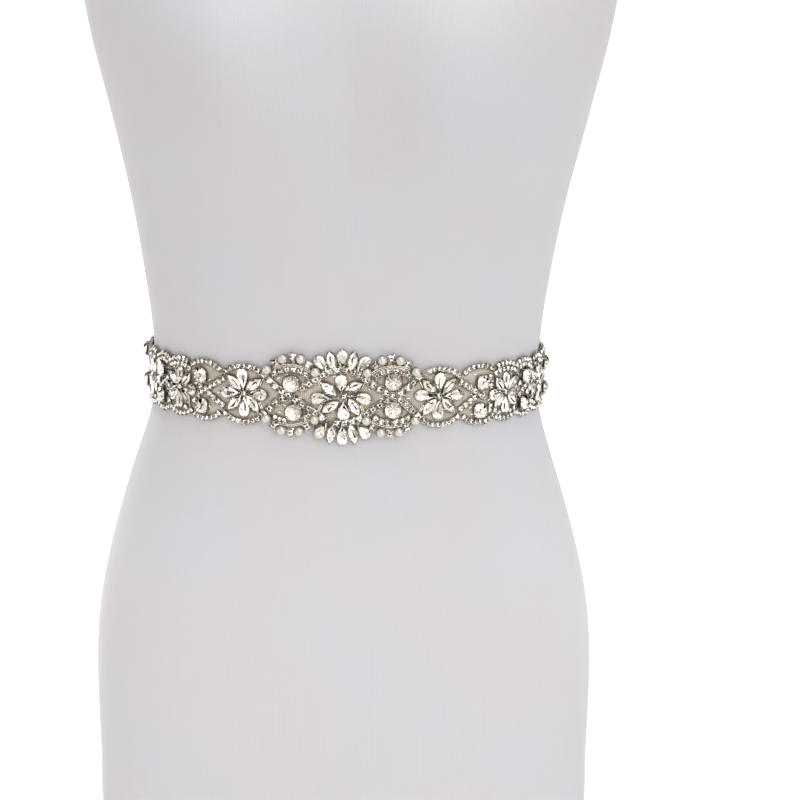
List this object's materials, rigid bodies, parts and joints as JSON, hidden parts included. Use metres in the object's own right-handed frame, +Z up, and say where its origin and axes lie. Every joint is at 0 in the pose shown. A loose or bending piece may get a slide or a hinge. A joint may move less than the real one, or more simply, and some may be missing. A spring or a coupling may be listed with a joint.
{
  "type": "bridal sash on a limbless dress form",
  "caption": "Satin ribbon sash with a crystal and pearl applique in front and a tied bow behind, worn by a table-top dress form.",
  "frame": {"origin": "centre of the part's footprint, on the surface that the form stands on", "axes": "+Z up; -Y is the front, where the applique is; +Y is the back, where the bow is; +X is the form's left"},
  "size_m": [0.3357, 0.2425, 0.745],
  "materials": {
    "jersey_cover": "pale grey-white ribbed jersey, matt",
    "satin_ribbon": "cream double-faced satin, soft sheen",
    "crystal": "clear foil-backed cut glass",
    "silver_setting": "silver-plated brass claw cups and beads",
    "pearl": "ivory pearl lacquer over a bead",
    "net_backing": "nude stiffened net with a felt back"
  },
  "bodies": {
    "root": {"dress_form": "jersey_cover", "ribbon_waist_band": "satin_ribbon", "bow_knot": "satin_ribbon", "bow_loop_left": "satin_ribbon", "bow_loop_right": "satin_ribbon", "ribbon_tail_left": "satin_ribbon", "ribbon_tail_right": "satin_ribbon", "rhinestone_applique": "crystal"}
  },
  "joints": []
}
